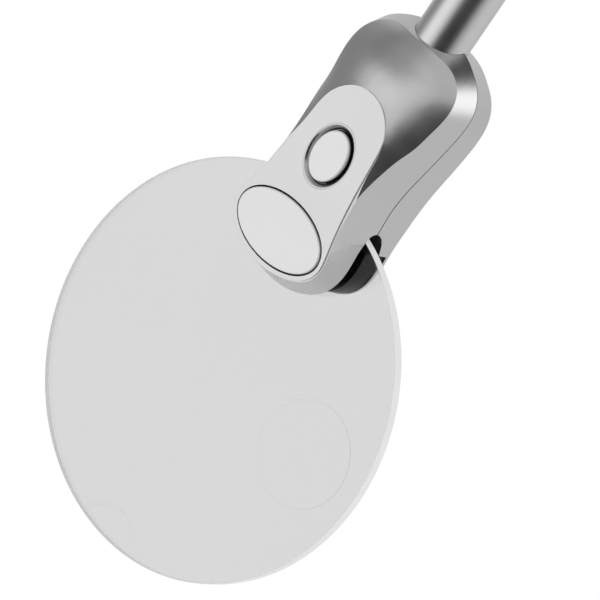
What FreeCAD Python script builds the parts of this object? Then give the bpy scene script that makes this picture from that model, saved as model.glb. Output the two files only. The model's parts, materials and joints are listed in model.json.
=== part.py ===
import FreeCAD, Part
import Sketcher
import math
import os

from FreeCAD import Placement, Rotation, Vector

os.makedirs("parts", exist_ok=True)
doc = FreeCAD.newDocument("bathroom_magnifier")

# Driving sizes in millimetres and degrees. Head sizes are measured from the lens centre:
# x runs from the lens centre towards the arm, z is up through the control plate.
SIZES = {
    "lens_dia": 110.0,
    "lens_rim": 2.8,
    "lens_mid": 4.2,
    "spot_dia": 28.4,
    "spot_shift": 34.5,
    "land_r": 11.0,
    "head_top": 13.4,
    "plate_t": 0.4,
    "head_depth": 12.4,
    "wall": 2.8,
    "hollow_top": 5.2,
    "button_x": 66.7,
    "button_long": 14.0,
    "button_wide": 10.7,
    "button_travel": 0.8,
    "pad_x": 43.4,
    "pad_long": 16.8,
    "pad_wide": 29.5,
    "boss_r": 2.6,
    "cell_dia": 20.0,
    "cell_t": 2.5,
    "cell_x": 77.0,
    "door_dia": 24.0,
    "tube_dia": 15.1,
    "tube_wall": 1.2,
    "stage_step": 3.6,
    "inner_start": 87.6,
    "inner_end": 330.0,
    "middle_start": 150.0,
    "middle_end": 340.0,
    "outer_start": 165.0,
    "outer_end": 352.0,
    "run_gap": 0.06,
    "collar_wall": 1.7,
    "pivot_x": 386.0,
    "eye_r": 12.0,
    "eye_t": 12.0,
    "cheek_t": 5.2,
    "bolt_dia": 8.0,
    "post_dia": 12.0,
    "barrel_dia": 26.0,
    "barrel_tall": 32.0,
    "reach": 62.0,
    "drop": 42.0,
    "arm_slope": 52.0,
    "plate_wide": 60.0,
    "plate_tall": 84.0,
    "plate_thick": 6.0,
    "hole_wide": 40.0,
    "hole_tall": 60.0,
    "hole_dia": 5.3,
    "stem_dia": 20.0,
}
sheet = doc.addObject("Spreadsheet::Sheet", "sizes")
for row, (name, value) in enumerate(SIZES.items(), start=1):
    sheet.set("A%d" % row, name)
    sheet.set("B%d" % row, str(value))
    sheet.setAlias("B%d" % row, name)
doc.recompute()
S = SIZES


def bind(thing, prop, size):
    """Ties a property to the sheet. size is a number or an expression of sheet names."""
    if isinstance(size, str):
        thing.setExpression(prop, named(size))
    else:
        setattr(thing, prop, size)


def named(text):
    out = text
    for key in sorted(SIZES, key=len, reverse=True):
        out = swap_word(out, key)
    return out


def swap_word(text, key):
    kept, word = "", ""
    for c in text + " ":
        if c.isalnum() or c == "_" or c == ".":
            word += c
        else:
            kept += ("sizes." + word) if word == key else word
            kept += c
            word = ""
    return kept.strip()


def number(size):
    """The value now of a size, for places where a start value is needed."""
    if not isinstance(size, str):
        return float(size)
    total, sign, term, op = 0.0, 1.0, None, "*"
    for token in size.replace("(", " ").replace(")", " ").split():
        if token in "+-":
            total += sign * term
            sign, term, op = (1.0 if token == "+" else -1.0), None, "*"
        elif token in "*/":
            op = token
        else:
            v = S[token] if token in S else float(token)
            if term is None:
                term = v
            elif op == "*":
                term *= v
            else:
                term /= v
    return total + sign * term


# where things stand: the head and arm share one slanted placement, the bracket stands square
slope = math.radians(S["arm_slope"])
along = Vector(math.cos(slope), 0, math.sin(slope))
across = Vector(-math.sin(slope), 0, math.cos(slope))
front = Vector(0, -1, 0)
pivot = Vector(0, -S["reach"], -S["drop"])
lens_centre = pivot - along * S["pivot_x"]
ARM = Placement(FreeCAD.Matrix(along.x, across.x, front.x, lens_centre.x,
                               along.y, across.y, front.y, lens_centre.y,
                               along.z, across.z, front.z, lens_centre.z, 0, 0, 0, 1))
ELBOW = Placement(pivot, Rotation())
WALL = Placement()
made = []


def new_body(label, place):
    body = doc.addObject("PartDesign::Body", label)
    body.Label = label
    body.Placement = place
    made.append(body)
    return body


def origin_plane(body, role):
    return [f for f in body.Origin.OriginFeatures if f.Role == role][0]


def new_sketch(body, role, lift=0.0, label="profile"):
    sk = body.newObject("Sketcher::SketchObject", label)
    sk.AttachmentSupport = [(origin_plane(body, role), "")]
    sk.MapMode = "FlatFace"
    sk.AttachmentOffset = Placement(Vector(0, 0, number(lift)), Rotation())
    if isinstance(lift, str):
        sk.setExpression("AttachmentOffset.Base.z", named(lift))
    return sk


def hold(sk, index, x, y):
    """Fixes a circle's or ellipse's centre at two sheet sizes or numbers."""
    for kind, value in (("DistanceX", x), ("DistanceY", y)):
        n = number(value)
        if n < 0:
            c = sk.addConstraint(Sketcher.Constraint(kind, index, 3, -1, 1, -n))
            text = "-(" + value + ")" if isinstance(value, str) else None
        else:
            c = sk.addConstraint(Sketcher.Constraint(kind, -1, 1, index, 3, n))
            text = value if isinstance(value, str) else None
        if text:
            sk.setExpression("Constraints[%d]" % c, named(text))


def add_circle(sk, x, y, radius):
    i = sk.addGeometry(Part.Circle(Vector(number(x), number(y), 0), Vector(0, 0, 1),
                                   number(radius)), False)
    hold(sk, i, x, y)
    c = sk.addConstraint(Sketcher.Constraint("Radius", i, number(radius)))
    if isinstance(radius, str):
        sk.setExpression("Constraints[%d]" % c, named(radius))
    return i


def add_ellipse(sk, x, y, half_x, half_y):
    """half_x and half_y are the half widths along the sketch axes."""
    hx, hy = number(half_x), number(half_y)
    c = Vector(number(x), number(y), 0)
    if hx > hy:
        e = Part.Ellipse(c + Vector(hx, 0, 0), c + Vector(0, hy, 0), c)
    else:
        e = Part.Ellipse(c + Vector(0, hy, 0), c + Vector(-hx, 0, 0), c)
    i = sk.addGeometry(e, False)
    return i


def add_loop(sk, points):
    """A closed loop of straight lines through points given as numbers or sheet sizes."""
    ids = []
    n = len(points)
    flat = [Vector(number(p[0]), number(p[1]), 0) for p in points]
    for k in range(n):
        ids.append(sk.addGeometry(Part.LineSegment(flat[k], flat[(k + 1) % n]), False))
    for k in range(n):
        sk.addConstraint(Sketcher.Constraint("Coincident", ids[k], 2, ids[(k + 1) % n], 1))
    for k in range(n):
        for kind, value in (("DistanceX", points[k][0]), ("DistanceY", points[k][1])):
            v = number(value)
            if v < 0:
                c = sk.addConstraint(Sketcher.Constraint(kind, ids[k], 1, -1, 1, -v))
                text = "-(" + value + ")" if isinstance(value, str) else None
            else:
                c = sk.addConstraint(Sketcher.Constraint(kind, -1, 1, ids[k], 1, v))
                text = value if isinstance(value, str) else None
            if text:
                sk.setExpression("Constraints[%d]" % c, named(text))
    return ids


def add_outline(sk, stations):
    """A smooth closed outline, alike on both sides of the middle line. A station gives the
    distance along and the half width there; the first and last lie on the middle line."""
    side = [Vector(a, b, 0) for a, b in stations]
    other = [Vector(a, -b, 0) for a, b in reversed(stations[1:-1])]
    curve = Part.BSplineCurve()
    curve.interpolate(Points=side + other, PeriodicFlag=True)
    return sk.addGeometry(curve, False)


def pad(body, sk, length, both=False, down=False, label="pad"):
    f = body.newObject("PartDesign::Pad", label)
    f.Profile = sk
    bind(f, "Length", length)
    f.Midplane = both
    f.Reversed = down
    sk.Visibility = False
    body.Tip = f
    return f


def pocket(body, sk, depth=None, both=False, down=False, label="pocket"):
    f = body.newObject("PartDesign::Pocket", label)
    f.Profile = sk
    if depth is None:
        f.Type = "ThroughAll"
    else:
        bind(f, "Length", depth)
    f.Midplane = both
    f.Reversed = down
    sk.Visibility = False
    body.Tip = f
    return f


def turn(body, sk, axis, cut=False, label="turned"):
    kind = "PartDesign::Groove" if cut else "PartDesign::Revolution"
    f = body.newObject(kind, label)
    f.Profile = sk
    f.ReferenceAxis = (sk, [axis])
    f.Angle = 360.0
    sk.Visibility = False
    body.Tip = f
    return f


def turned_body(label, place, points, axis="H_Axis"):
    """A turned piece. On the head and arm the turning axis is the arm's own middle line."""
    body = new_body(label, place)
    sk = new_sketch(body, "XY_Plane")
    add_loop(sk, points)
    turn(body, sk, axis)
    return body


def edges_at(shape, test):
    return ["Edge%d" % (k + 1) for k, e in enumerate(shape.Edges) if test(e)]


def soften(body, size, test, chamfer=False, label="softened"):
    doc.recompute()
    base = body.Tip
    names = edges_at(base.Shape, test)
    kind = "PartDesign::Chamfer" if chamfer else "PartDesign::Fillet"
    f = body.newObject(kind, label)
    f.Base = (base, names)
    bind(f, "Size" if chamfer else "Radius", size)
    body.Tip = f
    return f


def flat_edge(z, tol=0.01):
    return lambda e: abs(e.BoundBox.ZMin - z) < tol and abs(e.BoundBox.ZMax - z) < tol


# ---------------------------------------------------------------- head outlines
# half widths of the head at the seam between its shells, along its length
SEAM = [(27.8, 0), (28.6, 6.4), (31.2, 12.0), (36.4, 16.4), (43.0, 17.6), (50.0, 16.9),
        (57.6, 16.2), (63.0, 15.9), (69.7, 16.5), (77.8, 18.0), (84.5, 19.2), (91.6, 20.1),
        (96.4, 19.6), (100.5, 17.2), (103.5, 13.3), (105.8, 8.4), (107.0, 0)]
TOP = [(33.2, 0), (34.0, 6.3), (36.0, 11.6), (39.0, 15.3), (43.0, 16.6), (50.0, 15.2),
       (57.6, 14.1), (63.2, 13.6), (70.0, 14.0), (77.6, 14.9), (84.2, 15.8), (90.4, 16.4),
       (94.0, 15.7), (97.0, 13.4), (98.9, 10.2), (100.2, 6.0), (100.7, 0)]
LOWER = [(32.0, 0), (32.6, 6.3), (34.3, 11.7), (37.5, 15.4), (42.0, 17.2), (50.0, 17.0),
         (57.6, 16.2), (63.0, 15.9), (69.7, 16.5), (77.8, 18.0), (84.5, 19.2), (91.6, 20.1),
         (96.4, 19.6), (100.5, 17.2), (103.5, 13.3), (105.8, 8.4), (107.0, 0)]
# the lower shell's outline at its underside: fuller at the waist, drawn in behind
BELLY = [(32.0, 0), (32.6, 6.3), (34.3, 11.7), (37.5, 15.4), (42.0, 17.2), (50.0, 17.0),
         (57.7, 17.1), (63.0, 17.3), (69.5, 17.6), (77.7, 18.5), (84.5, 19.1), (91.6, 18.9),
         (95.7, 17.5), (98.7, 15.1), (101.0, 11.8), (103.1, 7.7), (104.2, 0)]
PLATE = [(33.5, 0), (34.3, 6.1), (36.3, 11.4), (39.2, 14.9), (42.8, 16.2), (46.4, 15.7),
         (50.4, 14.7), (56.0, 13.6), (64.0, 12.5), (73.0, 11.6), (79.0, 10.5), (83.2, 7.6),
         (85.6, 3.7), (86.2, 0)]
# the sloped crown behind the control plate: distance along, half width and height of its
# edge, height on the middle line
CROWN = [(50.0, 16.9, 15.0, 18.2), (58.0, 16.2, 13.2, 16.6), (66.0, 16.0, 11.6, 16.4),
         (73.0, 16.3, 10.4, 16.4), (80.0, 16.8, 8.9, 15.3), (86.4, 17.8, 8.1, 13.4),
         (91.0, 18.0, 7.6, 12.7), (96.0, 17.0, 6.7, 11.3), (100.0, 13.8, 6.1, 9.8),
         (103.2, 9.0, 5.9, 8.4), (106.5, 7.0, 4.6, 6.8), (110.0, 6.0, 3.0, 5.0)]


def shifted(stations, out):
    """The same outline moved out along its own normals; a negative distance moves it in."""
    moved = []
    last = len(stations) - 1
    for k, (a, b) in enumerate(stations):
        if k in (0, last):
            moved.append((a + (out if k else -out), 0))
            continue
        before, after = stations[k - 1], stations[k + 1]
        run, rise = after[0] - before[0], after[1] - before[1]
        size = math.hypot(run, rise)
        moved.append((a - out * rise / size, b + out * run / size))
    return moved


def hollow_stations(stations, start, inset):
    """The head's hollow: a wall thickness in from the seam, from start to the rear wall."""
    rear = stations[-1][0]
    inner = [(a, b - inset) for a, b in stations if start + 3 < a < rear - 8]
    first = inner[0][1]
    return ([(start, 0), (start + 0.15, first * 0.5), (start + 0.6, first * 0.88)] + inner
            + [(rear - 7.2, 11.4), (rear - 5.0, 6.5), (rear - 4.4, 0)])


# ---------------------------------------------------------------- upper shell
upper = new_body("upper_shell", ARM)
low = new_sketch(upper, "XY_Plane", label="seam_outline")
add_outline(low, SEAM)
high = new_sketch(upper, "XY_Plane", "head_top", label="top_outline")
add_outline(high, TOP)
hull = upper.newObject("PartDesign::AdditiveLoft", "hull")
hull.Profile = low
hull.Sections = [high]
hull.Ruled = True
upper.Tip = hull
doc.recompute()
crown_sections = []
for a, half, edge, top in CROWN:
    sk = new_sketch(upper, "YZ_Plane", a, label="crown")
    rise = top - edge
    radius = (half * half + rise * rise) / (2 * rise)
    out = 23.0 if radius > 23.5 else radius * 0.96
    z_out = top - radius + math.sqrt(radius * radius - out * out)
    arc = Part.Arc(Vector(-out, z_out, 0), Vector(0, top, 0), Vector(out, z_out, 0))
    sk.addGeometry(arc, False)
    sk.addGeometry(Part.LineSegment(Vector(out, z_out, 0), Vector(26, 27, 0)), False)
    sk.addGeometry(Part.LineSegment(Vector(26, 27, 0), Vector(-26, 27, 0)), False)
    sk.addGeometry(Part.LineSegment(Vector(-26, 27, 0), Vector(-out, z_out, 0)), False)
    sk.Visibility = False
    crown_sections.append(sk)
crown = upper.newObject("PartDesign::SubtractiveLoft", "crown_slope")
crown.Profile = crown_sections[0]
crown.Sections = crown_sections[1:]
upper.Tip = crown
doc.recompute()
sk = new_sketch(upper, "XY_Plane", label="hollow")
add_outline(sk, hollow_stations(SEAM, 58.6, S["wall"]))
pocket(upper, sk, "hollow_top", down=True, label="hollow_cut")
sk = new_sketch(upper, "XY_Plane", label="board_well")
add_loop(sk, [(58.5, -7.0), (83.0, -7.0), (83.0, 7.0), (58.5, 7.0)])
pocket(upper, sk, "head_top - 2", down=True, label="well_cut")
# screw bosses and their pilot holes
BOSSES = [(61.0, 10.0), (61.0, -10.0), (95.0, 11.0), (95.0, -11.0)]
sk = new_sketch(upper, "XY_Plane", label="bosses")
for x, y in BOSSES:
    add_circle(sk, x, y, "boss_r")
pad(upper, sk, "hollow_top + 0.5", label="boss_posts")
sk = new_sketch(upper, "XY_Plane", label="pilots")
for x, y in BOSSES:
    add_circle(sk, x, y, 0.95)
pocket(upper, sk, 4.4, down=True, label="pilot_holes")
# button opening and the well for the nose pad
sk = new_sketch(upper, "XY_Plane", "head_top", label="button_opening")
add_ellipse(sk, "button_x", 0, "button_long / 2 + 0.3", "button_wide / 2 + 0.3")
pocket(upper, sk, 3.0, label="button_hole")
sk = new_sketch(upper, "XY_Plane", "head_top", label="ring_outline")
add_ellipse(sk, "button_x", 0, "button_long / 2 + 2.05", "button_wide / 2 + 1.75")
pocket(upper, sk, 1.0, label="ring_seat")
sk = new_sketch(upper, "XY_Plane", "head_top", label="pad_opening")
add_ellipse(sk, "pad_x", 0, "pad_long / 2 + 0.5", "pad_wide / 2 + 0.5")
pocket(upper, sk, 3.4, label="pad_well")
sk = new_sketch(upper, "XY_Plane", "head_top", label="pad_guide")
add_circle(sk, "pad_x", 0, 3.08)
pocket(upper, sk, 12.0, label="pad_guide_hole")
# the mouth: a wedge from the nose to a rounded end, and the hollow that holds the lamp block
sk = new_sketch(upper, "XZ_Plane", label="mouth")
add_loop(sk, [(24.0, -1.0), (55.9, -1.0), (55.9, 0.0), (55.5, 1.0), (54.7, 1.8), (53.5, 2.3),
              (50.0, 2.9), (44.0, 3.5), (36.0, 4.5), (24.0, 5.9)])
pocket(upper, sk, 60.0, both=True, label="mouth_cut")
sk = new_sketch(upper, "XY_Plane", label="mouth_hollow")
add_loop(sk, [(39.4, -12.9), (57.2, -12.9), (57.2, 12.9), (39.4, 12.9)])
pocket(upper, sk, 6.2, down=True, label="block_seat")
# half bore for the arm tube and the groove for its ring
sk = new_sketch(upper, "XY_Plane", label="tube_seat")
add_loop(sk, [(84.5, 0), (113.0, 0), (113.0, "tube_dia / 2 + run_gap"),
              (92.0, "tube_dia / 2 + run_gap"), (92.0, 10.0), (87.2, 10.0),
              (87.2, "tube_dia / 2 + 0.4"), (84.5, "tube_dia / 2 + 0.4")])
turn(upper, sk, "H_Axis", cut=True, label="tube_bore")

# ---------------------------------------------------------------- lower shell
lower = new_body("lower_shell", ARM)
high = new_sketch(lower, "XY_Plane", label="seam_outline")
add_outline(high, LOWER)
low = new_sketch(lower, "XY_Plane", "-1 * head_depth", label="belly_outline")
add_outline(low, BELLY)
hull = lower.newObject("PartDesign::AdditiveLoft", "hull_lower")
hull.Profile = high
hull.Sections = [low]
hull.Ruled = True
lower.Tip = hull
doc.recompute()
soften(lower, 3.2, flat_edge(-S["head_depth"]), label="belly_edge")
sk = new_sketch(lower, "XY_Plane", label="hollow")
narrower = [(min(a, c), min(b, d)) for (a, b), (c, d) in zip(LOWER, BELLY)]
add_outline(sk, hollow_stations(narrower, 58.6, S["wall"]))
pocket(lower, sk, "head_depth - wall", label="hollow_cut")
# a fine shadow line where the two shells meet
sk = new_sketch(lower, "XY_Plane", label="seam_line")
add_outline(sk, shifted(LOWER, 1.5))
add_outline(sk, shifted(LOWER, -0.6))
pocket(lower, sk, 0.3, label="seam_groove")
sk = new_sketch(lower, "XY_Plane", label="bosses")
for x, y in BOSSES:
    add_circle(sk, x, y, "boss_r")
pad(lower, sk, "head_depth - 1", down=True, label="boss_posts")
sk = new_sketch(lower, "XY_Plane", label="screw_ways")
for x, y in BOSSES:
    add_circle(sk, x, y, 1.3)
pocket(lower, sk, label="screw_holes")
sk = new_sketch(lower, "XY_Plane", "-1 * head_depth", label="screw_heads")
for x, y in BOSSES:
    add_circle(sk, x, y, 2.3)
pocket(lower, sk, 4.2, down=True, label="head_sinks")
sk = new_sketch(lower, "XZ_Plane", label="mouth")
add_loop(sk, [(28.0, 1.0), (55.9, 1.0), (55.9, 0.0), (55.6, -1.4), (54.8, -2.8), (53.2, -4.2),
              (50.2, -5.6), (50.2, -9.0), (28.0, -9.0)])
pocket(lower, sk, 60.0, both=True, label="mouth_cut")
sk = new_sketch(lower, "XY_Plane", label="mouth_hollow")
add_loop(sk, [(41.4, -12.9), (57.2, -12.9), (57.2, 12.9), (41.4, 12.9)])
pocket(lower, sk, 9.0, label="block_seat")
# the battery door's seat: a shallow outer step and the way in for the cells
sk = new_sketch(lower, "XY_Plane", "-1 * head_depth", label="door_step")
add_circle(sk, "cell_x", 0, "door_dia / 2 + 0.1")
pocket(lower, sk, 1.2, down=True, label="door_seat")
sk = new_sketch(lower, "XY_Plane", "-1 * head_depth", label="door_tab_step")
add_loop(sk, [(60.4, -4.1), (68.0, -4.1), (68.0, 4.1), (60.4, 4.1)])
pocket(lower, sk, 1.2, down=True, label="tab_seat")
sk = new_sketch(lower, "XY_Plane", "-1 * head_depth", label="cell_way")
add_circle(sk, "cell_x", 0, "cell_dia / 2 + 0.3")
pocket(lower, sk, 4.0, down=True, label="cell_opening")
sk = new_sketch(lower, "XY_Plane", "-1 * head_depth", label="door_boss_hole")
add_circle(sk, 63.2, 0, 0.95)
pocket(lower, sk, 4.0, down=True, label="door_pilot")
sk = new_sketch(lower, "XY_Plane", label="tube_seat")
add_loop(sk, [(84.5, 0), (113.0, 0), (113.0, "tube_dia / 2 + run_gap"),
              (92.0, "tube_dia / 2 + run_gap"), (92.0, 10.0), (87.2, 10.0),
              (87.2, "tube_dia / 2 + 0.4"), (84.5, "tube_dia / 2 + 0.4")])
turn(lower, sk, "H_Axis", cut=True, label="tube_bore")

# ---------------------------------------------------------------- control plate and keys
plate = new_body("control_plate", ARM)
sk = new_sketch(plate, "XY_Plane", "head_top", label="outline")
add_outline(sk, PLATE)
pad(plate, sk, "plate_t", label="sheet")
sk = new_sketch(plate, "XY_Plane", "head_top + plate_t", label="openings")
add_ellipse(sk, "button_x", 0, "button_long / 2 + 2.05", "button_wide / 2 + 1.75")
add_ellipse(sk, "pad_x", 0, "pad_long / 2 + 0.5", "pad_wide / 2 + 0.5")
pocket(plate, sk, 2.0, label="openings_cut")

ring = new_body("button_ring", ARM)
sk = new_sketch(ring, "XY_Plane", "head_top - 0.97", label="ring_outline")
add_ellipse(sk, "button_x", 0, "button_long / 2 + 2.0", "button_wide / 2 + 1.7")
pad(ring, sk, "plate_t + 0.97", label="ring_blank")
sk = new_sketch(ring, "XY_Plane", "head_top - 1", label="ring_hole")
add_ellipse(sk, "button_x", 0, "button_long / 2 + 0.35", "button_wide / 2 + 0.35")
pocket(ring, sk, down=True, label="ring_opening")
soften(ring, 1.1, lambda e: flat_edge(S["head_top"] + S["plate_t"])(e)
       and e.BoundBox.XLength > 0 and e.BoundBox.YLength < S["button_wide"] + 1.5,
       chamfer=True, label="bevel")

button = new_body("power_button", ARM)
sk = new_sketch(button, "XY_Plane", "head_top - 2.7", label="cap_outline")
add_ellipse(sk, "button_x", 0, "button_long / 2", "button_wide / 2")
pad(button, sk, "plate_t + 3.1", label="cap")
soften(button, 0.35, flat_edge(S["head_top"] - 2.7 + S["plate_t"] + 3.1), label="cap_edge")
sk = new_sketch(button, "XY_Plane", "head_top - 3.4", label="flange_outline")
add_ellipse(sk, "button_x", 0, "button_long / 2 + 0.9", "button_wide / 2 + 0.9")
pad(button, sk, 1.0, label="flange")
sk = new_sketch(button, "XY_Plane", "head_top - 3.4", label="stem_outline")
add_circle(sk, "button_x", 0, 1.8)
pad(button, sk, 1.5, down=True, label="stem")

nose = new_body("nose_pad", ARM)
sk = new_sketch(nose, "XY_Plane", "head_top - 1.8", label="pad_outline")
add_ellipse(sk, "pad_x", 0, "pad_long / 2", "pad_wide / 2")
pad(nose, sk, "plate_t + 2.3", label="pad_body")
soften(nose, 0.3, flat_edge(S["head_top"] - 1.8 + S["plate_t"] + 2.3), label="pad_edge")
sk = new_sketch(nose, "XY_Plane", "head_top - 1.8", label="guide_pin")
add_circle(sk, "pad_x", 0, 3.0)
pad(nose, sk, 4.5, down=True, label="guide")


def coil(label, x, base, height, mean_r, wire_r, turns, place):
    """A coil spring standing on base, its ends cut level."""
    helix = doc.addObject("Part::Helix", label + "_line")
    helix.Pitch = height / turns
    helix.Height = height
    helix.Radius = mean_r
    helix.SegmentLength = 0.5
    ring_profile = doc.addObject("Part::Circle", label + "_wire")
    ring_profile.Radius = wire_r
    ring_profile.Placement = Placement(Vector(mean_r, 0, 0), Rotation(Vector(1, 0, 0), 90))
    sweep = doc.addObject("Part::Sweep", label + "_sweep")
    sweep.Sections = [ring_profile]
    doc.recompute()
    sweep.Spine = (helix, ["Edge%d" % (k + 1) for k in range(len(helix.Shape.Edges))])
    sweep.Solid = True
    sweep.Frenet = True
    doc.recompute()
    spring = doc.addObject("Part::Feature", label)
    spring.Shape = sweep.Shape.copy()
    spring.Label = label
    inner = Placement(Vector(x, 0, base), Rotation())
    spring.Placement = place.multiply(inner)
    for helper in (sweep, ring_profile, helix):
        doc.removeObject(helper.Name)
    made.append(spring)
    return spring


coil("button_spring", S["button_x"], S["hollow_top"] + 0.3, S["head_top"] - 3.4 - S["hollow_top"]
     - 0.6, 5.0, 0.25, 4, ARM)
coil("pad_spring", S["pad_x"], S["head_top"] - 3.4 + 0.23, 1.14, 4.4, 0.18, 2, ARM)

# ---------------------------------------------------------------- lens
half_rim = S["lens_rim"] / 2
lens_r = S["lens_dia"] / 2
lens = new_body("lens", ARM)
sk = new_sketch(lens, "XZ_Plane", label="section")


def lens_section(sk, grow):
    """Half of a lens cut through its middle: a shallow dome over a flat back, and a flat rim."""
    r, h = lens_r + grow, half_rim + grow
    m = S["lens_mid"] - half_rim + grow
    sag = m - h
    big = (r * r + sag * sag) / (2 * sag)
    mid_z = m - big + math.sqrt(big * big - r * r / 4)
    sk.addGeometry(Part.Arc(Vector(0, m, 0), Vector(r / 2, mid_z, 0), Vector(r, h, 0)), False)
    sk.addGeometry(Part.LineSegment(Vector(r, h, 0), Vector(r, -h, 0)), False)
    sk.addGeometry(Part.LineSegment(Vector(r, -h, 0), Vector(0, -h, 0)), False)
    sk.addGeometry(Part.LineSegment(Vector(0, -h, 0), Vector(0, m, 0)), False)


lens_section(sk, 0.0)
turn(lens, sk, "V_Axis", label="blank")
# the stronger reading spot stands slightly proud of the flat back
sk = new_sketch(lens, "XY_Plane", "-1 * lens_rim / 2 - 0.3", label="spot")
add_circle(sk, 0, "-1 * spot_shift", "spot_dia / 2")
pad(lens, sk, "lens_rim / 2", label="spot_disc")
soften(lens, 0.25, flat_edge(-half_rim - 0.3), label="spot_edge")
# moulded land on the rim opposite the handle
sk = new_sketch(lens, "XY_Plane", label="land")
add_circle(sk, "-1 * lens_dia / 2 - 2.9", 0, "land_r")
pad(lens, sk, "lens_rim + 0.5", both=True, label="land_disc")
sk = new_sketch(lens, "XY_Plane", label="trim")
add_circle(sk, 0, 0, "lens_dia / 2")
add_circle(sk, 0, 0, "lens_dia / 2 + 20")
pocket(lens, sk, 20.0, both=True, label="rim_trim")

# ---------------------------------------------------------------- blocks that grip the lens
for name, sign in (("lamp_block", 1), ("clamp_block", -1)):
    block = new_body(name, ARM)
    if sign < 0:
        # the black lower jaw that shows under the lens
        sk = new_sketch(block, "XY_Plane", label="jaw_outline")
        add_outline(sk, shifted(LOWER, -0.25))
        pad(block, sk, 8.98, down=True, label="jaw")
        sk = new_sketch(block, "XY_Plane", label="jaw_end")
        add_loop(sk, [(50.0, -30.0), (120.0, -30.0), (120.0, 30.0), (50.0, 30.0)])
        pocket(block, sk, 20.0, label="jaw_trim")
        soften(block, 0.8, flat_edge(-8.98), chamfer=True, label="jaw_edge")
    sk = new_sketch(block, "XY_Plane", label="block_outline")
    x0 = 39.6 if sign > 0 else 41.6
    add_loop(sk, [(x0, -12.8), (57.0, -12.8), (57.0, 12.8), (x0, 12.8)])
    pad(block, sk, 6.2 if sign > 0 else 8.98, down=sign < 0, label="block_body")
    sk = new_sketch(block, "XZ_Plane", label="lens_gap")
    lens_section(sk, 0.04)
    turn(block, sk, "V_Axis", cut=True, label="lens_seat")
    if sign > 0:
        sk = new_sketch(block, "XY_Plane", label="lamp_holes")
        for y in (-7.0, 7.0):
            add_circle(sk, 48.6, y, 2.56)
        pocket(block, sk, 7.5, down=True, label="lamp_bores")
        sk = new_sketch(block, "XY_Plane", 6.2, label="front_relief")
        add_loop(sk, [(39.0, -13.5), (42.0, -13.5), (42.0, 13.5), (39.0, 13.5)])
        pocket(block, sk, 2.4, label="front_step")


def part(kind, label, place, **props):
    o = doc.addObject("Part::" + kind, label)
    for key, value in props.items():
        bind(o, key, value)
    o.Placement = place
    return o


def at(x, y, z, axis=Vector(0, 0, 1), frame=ARM):
    return frame.multiply(Placement(Vector(x, y, z), Rotation(Vector(0, 0, 1), axis)))


def group(label, shapes):
    """Identical small pieces kept as one node."""
    g = doc.addObject("Part::Compound", label)
    g.Label = label
    g.Links = shapes
    made.append(g)
    return g


def joined(label, shapes):
    g = doc.addObject("Part::MultiFuse", label)
    g.Shapes = shapes
    return g


def cut(label, base, tool):
    g = doc.addObject("Part::Cut", label)
    g.Base = base
    g.Tool = tool
    return g


def keep(o, label):
    o.Label = label
    made.append(o)
    return o


UP, DOWN, ALONG, SIDE = Vector(0, 0, 1), Vector(0, 0, -1), Vector(1, 0, 0), Vector(0, 1, 0)
lamps = []
for k, y in enumerate((-7.0, 7.0)):
    lamp = joined("lamp_%d" % k, [
        part("Cylinder", "lamp_can_%d" % k, at(48.6, y, 4.5), Radius=2.5, Height=1.65),
        part("Sphere", "lamp_dome_%d" % k, at(48.6, y, 4.5), Radius=2.5, Angle2=0)])
    lamps.append(lamp)
group("led_lamps", lamps)

# ---------------------------------------------------------------- electrics
board = new_body("circuit_board", ARM)
sk = new_sketch(board, "XY_Plane", "hollow_top", label="board_outline")
add_loop(sk, [(64.4, -10.0), (86.0, -10.0), (86.0, 10.0), (64.4, 10.0)])
pad(board, sk, 1.6, down=True, label="board")
switch = new_body("tact_switch", ARM)
sk = new_sketch(switch, "XY_Plane", "hollow_top", label="can_outline")
add_loop(sk, [("button_x - 2", -3.0), ("button_x + 3", -3.0), ("button_x + 3", 3.0),
              ("button_x - 2", 3.0)])
pad(switch, sk, 2.0, label="can")
sk = new_sketch(switch, "XY_Plane", "hollow_top + 2", label="plunger_outline")
add_circle(sk, "button_x", 0, 1.7)
pad(switch, sk, 0.4, label="plunger")

cell_low = -S["head_depth"] + 1.25
cells = [part("Cylinder", "cell_%d" % k, at(S["cell_x"], 0, cell_low + k * (S["cell_t"] + 0.02)),
              Radius="cell_dia / 2", Height="cell_t") for k in range(2)]
group("coin_cells", cells)
cell_top = cell_low + 2 * S["cell_t"] + 0.02
contact = new_body("cell_contact", ARM)
sk = new_sketch(contact, "XZ_Plane", label="strip")
board_low = S["hollow_top"] - 1.6
add_loop(sk, [(72.0, cell_top + 0.02), (83.6, cell_top + 0.02), (83.6, board_low),
              (83.2, board_low), (83.2, cell_top + 0.42), (72.0, cell_top + 0.42)])
pad(contact, sk, 4.0, both=True, label="leaf")
side_contact = new_body("side_contact", ARM)
sk = new_sketch(side_contact, "YZ_Plane", 75.0, label="strip")
side_y = S["cell_dia"] / 2 + 0.05
side_low = S["wall"] - S["head_depth"] + 0.1
add_loop(sk, [(side_y, side_low), (side_y + 0.4, side_low), (side_y + 0.4, board_low),
              (side_y - 2.0, board_low), (side_y - 2.0, board_low - 0.4),
              (side_y, board_low - 0.4)])
pad(side_contact, sk, 4.0, label="leaf")

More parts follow.
